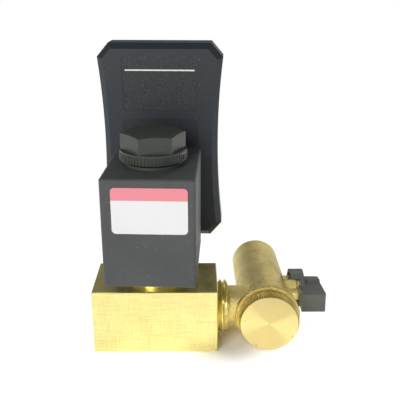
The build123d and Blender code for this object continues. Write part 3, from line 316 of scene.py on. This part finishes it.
def smooth(data, angle):
    """Shades a mesh smooth, apart from edges sharper than an angle in degrees."""
    for polygon in data.polygons:
        polygon.use_smooth = True
    data.set_sharp_from_angle(angle=math.radians(angle))


def mesh_piece(name, vertices, faces, slot, body, smooth_angle=30, finish=None):
    """A mesh given in millimetres that rides on a CAD body."""
    data = bpy.data.meshes.new(name)
    data.from_pydata([Vector(v) * MM for v in vertices], [], faces)
    mesh = bmesh.new()
    mesh.from_mesh(data)
    bmesh.ops.remove_doubles(mesh, verts=mesh.verts, dist=1e-7)
    bmesh.ops.recalc_face_normals(mesh, faces=mesh.faces)
    mesh.to_mesh(data)
    mesh.free()
    piece = bpy.data.objects.new(name, data)
    scene.collection.objects.link(piece)
    smooth(data, smooth_angle)
    paint(piece, slot, finish)
    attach(piece, body)
    return piece


def ring_faces(rings, count, start=0):
    """Faces that join each closed ring of points to the next one."""
    faces = []
    for k in range(rings - 1):
        near = start + k * count
        far = near + count
        for i in range(count):
            j = (i + 1) % count
            faces.append((near + i, near + j, far + j, far + i))
    return faces


def barrel_point(along, radius, angle):
    """A point round the strainer's barrel, from its distance along the barrel, radius and angle."""
    return NECK + BARREL * along + (BARREL_UP * math.cos(angle) + BARREL_SIDE * math.sin(angle)) * radius


def thread(name, centre, along, up, start, end, pitch, root_r, crest_r, slot, taper_in=0.4, taper_out=0.4):
    """A right-hand helical thread ridge between two stations of an axis, with run-outs at both ends.

    It stands from the root radius to the crest, outwards on a male thread and inwards in a bore."""
    stations = 64  # in one turn
    along = Vector(along).normalized()
    up = Vector(up).normalized()
    side = along.cross(up)
    turns = (end - start - pitch) / pitch
    steps = int(turns * stations)
    profile = [(-0.47, 0), (-0.10, 1), (0.10, 1), (0.47, 0)]
    # the ridge's foot is sunk a little into the metal that carries it
    foot = root_r + math.copysign(0.05, root_r - crest_r)
    vertices, faces = [], []
    for i in range(steps + 1):
        turn = i / stations
        angle = 2 * math.pi * turn
        fade = min(1, turn / taper_in, (turns - turn) / taper_out + 1e-6)
        middle = start + pitch * (0.5 + turn)
        out = up * math.cos(angle) + side * math.sin(angle)
        for shift, level in profile:
            radius = foot + (crest_r - foot) * level * fade
            vertices.append(Vector(centre) + along * (middle + shift * pitch) + out * radius)
    for i in range(steps):
        for k in range(3):
            a = i * 4 + k
            faces.append((a, a + 1, a + 5, a + 4))
    faces.append((3, 2, 1, 0))
    faces.append(tuple(steps * 4 + k for k in range(4)))
    return mesh_piece(name, vertices, faces, slot, "valve_body")


thread("neck_thread", BLOCK_AXIS, (1, 0, 0), (0, 0, 1), 22.2, 28.0, G_HALF_PITCH, 9.28, 10.45,
       "machined_brass", taper_in=0.1, taper_out=0.12)
thread("outlet_thread", BLOCK_AXIS, (-1, 0, 0), (0, 0, 1), 9.8, 23.1, G_HALF_PITCH, 9.30, 8.55,
       "machined_brass")
thread("inlet_thread", NECK, BARREL, BARREL_UP, 34.5, 47.1, G_THREE_EIGHTHS_PITCH, 7.46, 6.85,
       "cast_brass")


def knurled_cap():
    """The strainer cap's head: a straight knurl round a turned face, over the CAD cap's bore."""
    teeth, outer, root = 78, 11.3, 10.85
    front, back = CAP_FACE, -10.0
    shank, shank_end, bore, bore_floor = 8.6, -3.82, 6.22, -12.3
    # station along the barrel, radius, and the share of the knurl's depth cut there
    rings = [(front, 0.0, 0.0), (front, 10.55, 0.0), (front + 0.06, outer - 0.40, 0.6),
             (front + 0.45, outer, 1.0), (back - 0.4, outer, 1.0), (back, outer - 0.3, 1.0),
             (back, shank + 0.02, 0.0), (shank_end, shank - 0.02, 0.0), (shank_end, bore, 0.0),
             (bore_floor, bore, 0.0), (bore_floor, 0.0, 0.0)]
    count = teeth * 4
    vertices = []
    for along, radius, knurl in rings:
        for i in range(count):
            depth = (outer - root) * knurl * (0, 0.75, 1, 0.75)[i % 4]
            vertices.append(barrel_point(along, radius - depth, 2 * math.pi * i / count))
    return mesh_piece("knurled_cap", vertices, ring_faces(len(rings), count), "cast_brass", "cap", 25,
                      "turned_brass")


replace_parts(knurled_cap(), "strainer_cap")


def collar_knurl():
    """Axial ribs round the strainer's collar, in line with the cap's knurl."""
    ribs, root, crest, front, back = 78, 11.95, 12.35, -9.55, -6.7
    vertices, faces = [], []
    for i in range(ribs):
        for shift, radius in [(-0.42, root), (-0.12, crest), (0.12, crest), (0.42, root)]:
            angle = 2 * math.pi * (i + shift) / ribs
            run_out = 0.25 if radius == crest else 0
            vertices.append(barrel_point(front, radius - 0.7, angle))
            vertices.append(barrel_point(back - run_out, radius, angle))
            vertices.append(barrel_point(front + 0.55, radius, angle))
        # each rib: a slope up from the front, a flat crest, and its flanks
        first = i * 12
        for k in range(3):
            a, b = first + k * 3, first + k * 3 + 3
            faces += [(a, b, b + 2, a + 2), (a + 2, b + 2, b + 1, a + 1)]
        faces += [(first, first + 9, first + 6, first + 3), (first + 1, first + 4, first + 7, first + 10)]
        faces += [(first, first + 2, first + 1, first + 10, first + 11, first + 9)]
    return mesh_piece("collar_knurl", vertices, faces, "cast_brass", "valve_body", 20)


collar_knurl()


def in_coil_frame(x, y, z):
    """A point given in the coil's own frame, which is turned about the tube."""
    return Vector((x * math.cos(TURN) - y * math.sin(TURN), x * math.sin(TURN) + y * math.cos(TURN), z))


def round_wire_spring():
    """The plunger's spring in round wire."""
    low, high = (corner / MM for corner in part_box("plunger_spring"))
    wire, turns, around, per_turn, stroke = 0.3, 6, 10, 32, 2.0
    coil = (high.x - low.x) / 2 - wire
    bottom, top = low.z + wire, high.z - wire
    steps = turns * per_turn
    rise = (top - bottom) / (2 * math.pi * turns)
    vertices = []
    for i in range(steps + 1):
        angle = 2 * math.pi * i / per_turn
        out = Vector((math.cos(angle), math.sin(angle), 0))
        centre = out * coil + Vector((0, 0, bottom + rise * angle))
        tangent = Vector((-math.sin(angle) * coil, math.cos(angle) * coil, rise)).normalized()
        binormal = tangent.cross(out)
        for k in range(around):
            turn = 2 * math.pi * k / around
            vertices.append(centre + (out * math.cos(turn) + binormal * math.sin(turn)) * wire)
    faces = ring_faces(steps + 1, around)
    faces.append(tuple(range(around)))
    faces.append(tuple(steps * around + k for k in reversed(range(around))))
    spring = mesh_piece("round_wire_spring", vertices, faces, "spring_steel", "plunger_unit", 40)
    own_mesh(spring)
    return spring


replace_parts(round_wire_spring(), "plunger_spring")


def nut_serrations():
    """Short upright ribs round the coil nut's flange, below a plain rim."""
    ribs, root, crest, slope = 60, 12.0, 12.38, 0.25
    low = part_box("coil_nut")[0].z / MM + 0.3
    high = low + 2.6
    vertices, faces = [], []
    for i in range(ribs):
        for shift, radius in [(-0.30, root), (-0.16, crest), (0.16, crest), (0.30, root)]:
            angle = 2 * math.pi * (i + shift) / ribs
            inset = slope if radius == crest else 0
            for z in (low + inset, high - inset):
                vertices.append((radius * math.cos(angle), radius * math.sin(angle), z))
        a = i * 8
        faces += [(a, a + 2, a + 3, a + 1), (a + 2, a + 4, a + 5, a + 3), (a + 4, a + 6, a + 7, a + 5)]
        faces += [(a + 1, a + 3, a + 5, a + 7), (a, a + 6, a + 4, a + 2), (a, a + 1, a + 7, a + 6)]
    return mesh_piece("nut_serrations", vertices, faces, "nut_plastic", "valve_body", 20)


nut_serrations()


def angle_between(first, second):
    """The shorter way round from one angle to another."""
    return abs((first - second + math.pi) % (2 * math.pi) - math.pi)


def cover_screw(name, x, z):
    """A pan head with a cross recess, seen in the rear cover's corner recess."""
    radius, low, high, edge_round = 2.15, 55.85, 57.1, 0.35
    arm_reach, arm_half, depth = 1.35, 0.36, 1.0
    # the cross: in each quarter, an arm's corner, the inner corner and the next arm's corner
    outline = []
    for quarter in range(-2, 2):
        turn = quarter * math.pi / 2
        for u, v in ((arm_reach, arm_half), (arm_half, arm_half), (arm_half, arm_reach)):
            outline.append((u * math.cos(turn) - v * math.sin(turn),
                            u * math.sin(turn) + v * math.cos(turn)))
    count = 48
    rim_angles = [2 * math.pi * i / count for i in range(count)]
    rings = [(radius, low), (radius, high - edge_round), (radius - edge_round, high)]
    vertices = [in_coil_frame(x + ring_radius * math.cos(angle), y, z + ring_radius * math.sin(angle))
                for ring_radius, y in rings for angle in rim_angles]
    faces = ring_faces(len(rings), count)
    faces.append(tuple(range(count)))
    start = len(vertices)
    for y in (high, high - depth):
        vertices += [in_coil_frame(x + u, y, z + v) for u, v in outline]
    corners = len(outline)
    faces += ring_faces(2, corners, start)
    faces.append(tuple(start + corners + i for i in range(corners)))
    # head's face between the rim and the cross: each rim point joins the nearest outline point
    rim = (len(rings) - 1) * count
    angles = [math.atan2(v, u) for u, v in outline]
    nearest = [min(range(corners), key=lambda e: angle_between(angles[e], angle)) for angle in rim_angles]
    for i in range(count):
        j = (i + 1) % count
        faces.append((rim + i, rim + j, start + nearest[i]))
        e = nearest[i]
        while e != nearest[j]:
            following = (e + 1) % corners
            faces.append((rim + j, start + following, start + e))
            e = following
    return mesh_piece(name, vertices, faces, "steel", "coil_unit", 25)


for corner, (x, z) in enumerate([(-17.5, 38.5), (17.5, 38.5), (-17.5, 104.5), (17.5, 104.5)]):
    cover_screw("cover_screw_%d" % (corner + 1), x, z)


def flat_bar(name, x, y, z, size, slot, body):
    """A thin upright bar in the coil's frame, centred on a point."""
    corners = [in_coil_frame(x + u * size[0] / 2, y + v * size[1] / 2, z + w * size[2] / 2)
               for u in (-1, 1) for v in (-1, 1) for w in (-1, 1)]
    sides = [(0, 1, 3, 2), (4, 6, 7, 5), (0, 4, 5, 1), (2, 3, 7, 6), (0, 2, 6, 4), (1, 5, 7, 3)]
    return mesh_piece(name, corners, sides, slot, body)


# painted highlight: a thin white bar on the timer plate stands in for light caught along the edge of the
# plate's recess
flat_bar("plate_edge_highlight", 0, 27.40, 100.9, (27.2, 0.06, 0.55), "white_print", "coil_unit")

for node in nodes.values():
    smooth(node.data, 28)

# edges that catch the light: a small round on the big moulded and machined pieces
for name, width in [("valve_block", 0.15), ("coil_housing", 0.45), ("timer_front_shell", 0.16),
                    ("timer_rear_cover", 0.3), ("handle", 0.2), ("coil_nut", 0.2)]:
    round_edge = nodes[name].modifiers.new("round_edge", "BEVEL")
    round_edge.width = width * MM
    round_edge.segments = 2
    round_edge.limit_method = "ANGLE"
    round_edge.angle_limit = math.radians(35)
    round_edge.use_clamp_overlap = True
    round_edge.harden_normals = False


# ---------------------------------------------------------------- floor, light and camera

SHADOW_MIDDLE = (0.027, -0.003, 0)  # under the neck, where the floor keeps its full shadow


def fade_to_white(tree, shader):
    """Painted light on the floor: it glows a little round the object for camera and glossy rays, least
    under the neck and more away from it, which thins the object's cast shadow there; further out it turns
    plain white.
    """
    geometry = tree.nodes.new("ShaderNodeNewGeometry")
    length = tree.nodes.new("ShaderNodeVectorMath")
    length.operation = "LENGTH"
    tree.links.new(geometry.outputs["Position"], length.inputs[0])
    reach = ramp(tree, length.outputs["Value"], [(0.070, 0), (0.125, 1)])
    rays = tree.nodes.new("ShaderNodeLightPath")
    white = tree.nodes.new("ShaderNodeEmission")
    white.inputs["Color"].default_value = (1, 1, 1, 1)
    seen = tree.nodes.new("ShaderNodeMath")
    seen.operation = "MULTIPLY_ADD"
    seen.inputs[1].default_value = 0.85
    tree.links.new(rays.outputs["Is Glossy Ray"], seen.inputs[0])
    tree.links.new(rays.outputs["Is Camera Ray"], seen.inputs[2])
    from_neck = tree.nodes.new("ShaderNodeVectorMath")
    from_neck.operation = "DISTANCE"
    from_neck.inputs[1].default_value = SHADOW_MIDDLE
    tree.links.new(geometry.outputs["Position"], from_neck.inputs[0])
    lift = tree.nodes.new("ShaderNodeMath")
    lift.operation = "MULTIPLY"
    tree.links.new(ramp(tree, from_neck.outputs["Value"], [(0.009, 0.0), (0.023, 0.80)]), lift.inputs[0])
    tree.links.new(seen.outputs["Value"], lift.inputs[1])
    glow = tree.nodes.new("ShaderNodeEmission")
    tree.links.new(lift.outputs["Value"], glow.inputs["Strength"])
    near = tree.nodes.new("ShaderNodeAddShader")
    tree.links.new(shader.outputs["BSDF"], near.inputs[0])
    tree.links.new(glow.outputs["Emission"], near.inputs[1])
    blend = tree.nodes.new("ShaderNodeMixShader")
    tree.links.new(reach, blend.inputs["Fac"])
    tree.links.new(near.outputs["Shader"], blend.inputs[1])
    tree.links.new(white.outputs["Emission"], blend.inputs[2])
    output = [n for n in tree.nodes if n.type == "OUTPUT_MATERIAL"][0]
    tree.links.new(blend.outputs["Shader"], output.inputs["Surface"])


def make_floor():
    bpy.ops.mesh.primitive_plane_add(size=1, location=(0, 0, -0.05 * MM))
    plane = bpy.context.object
    plane.name = "floor"
    plane.scale = (3, 3, 1)
    material, tree, shader = new_material("floor")
    colour = (0.93, 0.93, 0.93)
    where = place_texture(tree)
    tint = ramp(tree, noise(tree, where, 4, 2), [(0.3, shade(colour, 0.995)), (0.7, colour)])
    tree.links.new(tint, shader.inputs["Base Color"])
    shader.inputs["Roughness"].default_value = 0.9
    shader.inputs["Specular IOR Level"].default_value = 0.1
    fade_to_white(tree, shader)
    plane.data.materials.append(material)


def area_light(name, place, target, size, power):
    lamp = bpy.data.lights.new(name, "AREA")
    lamp.shape = "RECTANGLE"
    lamp.size, lamp.size_y = size[0] * MM, size[1] * MM
    lamp.energy = power
    holder = bpy.data.objects.new(name, lamp)
    scene.collection.objects.link(holder)
    holder.location = Vector(place) * MM
    holder.rotation_euler = (Vector(target) - Vector(place)).to_track_quat("-Z", "Y").to_euler()


make_floor()

world = bpy.data.worlds.new("studio")
scene.world = world
world.use_nodes = True
tree = world.node_tree
tree.nodes.clear()
rays = tree.nodes.new("ShaderNodeLightPath")
seen = tree.nodes.new("ShaderNodeBackground")
seen.inputs["Color"].default_value = (1, 1, 1, 1)
seen.inputs["Strength"].default_value = 1.0
direction = tree.nodes.new("ShaderNodeTexCoord")
parts = tree.nodes.new("ShaderNodeSeparateXYZ")
tree.links.new(direction.outputs["Generated"], parts.inputs["Vector"])
# bright round the horizon, darker overhead; brighter in front than behind
height_light = ramp(tree, parts.outputs["Z"], [(0.0, 0.80), (0.15, 0.68), (0.34, 0.38), (0.7, 0.22)])
behind = tree.nodes.new("ShaderNodeMapRange")
behind.inputs["From Min"].default_value = -1
behind.inputs["From Max"].default_value = 1
behind.inputs["To Min"].default_value = 1.0
behind.inputs["To Max"].default_value = 0.56
tree.links.new(parts.outputs["Y"], behind.inputs["Value"])
fill = tree.nodes.new("ShaderNodeBackground")
tree.links.new(height_light, fill.inputs["Color"])
tree.links.new(behind.outputs["Result"], fill.inputs["Strength"])
choice = tree.nodes.new("ShaderNodeMixShader")
out = tree.nodes.new("ShaderNodeOutputWorld")
tree.links.new(rays.outputs["Is Camera Ray"], choice.inputs["Fac"])
tree.links.new(fill.outputs["Background"], choice.inputs[1])
tree.links.new(seen.outputs["Background"], choice.inputs[2])
tree.links.new(choice.outputs["Shader"], out.inputs["Surface"])

area_light("rim", (150, 260, 250), (44, 40, 15), (40, 40), 0.14)
area_light("key", (-230, -480, 340), (10, 0, 30), (300, 300), 2.0)

camera_data = bpy.data.cameras.new("camera")
camera_data.sensor_width = 36
camera_data.lens = 57.6
camera_data.clip_start = 0.01
camera = bpy.data.objects.new("camera", camera_data)
scene.collection.objects.link(camera)
pitch, yaw = math.radians(19.62), math.radians(-0.439)
forward = Vector((-math.sin(yaw) * math.cos(pitch), math.cos(yaw) * math.cos(pitch), -math.sin(pitch)))
camera.location = Vector((15.17, -223.8, 136.9)) * MM
camera.rotation_euler = forward.to_track_quat("-Z", "Y").to_euler()
scene.camera = camera
scene.view_settings.view_transform = "Standard"
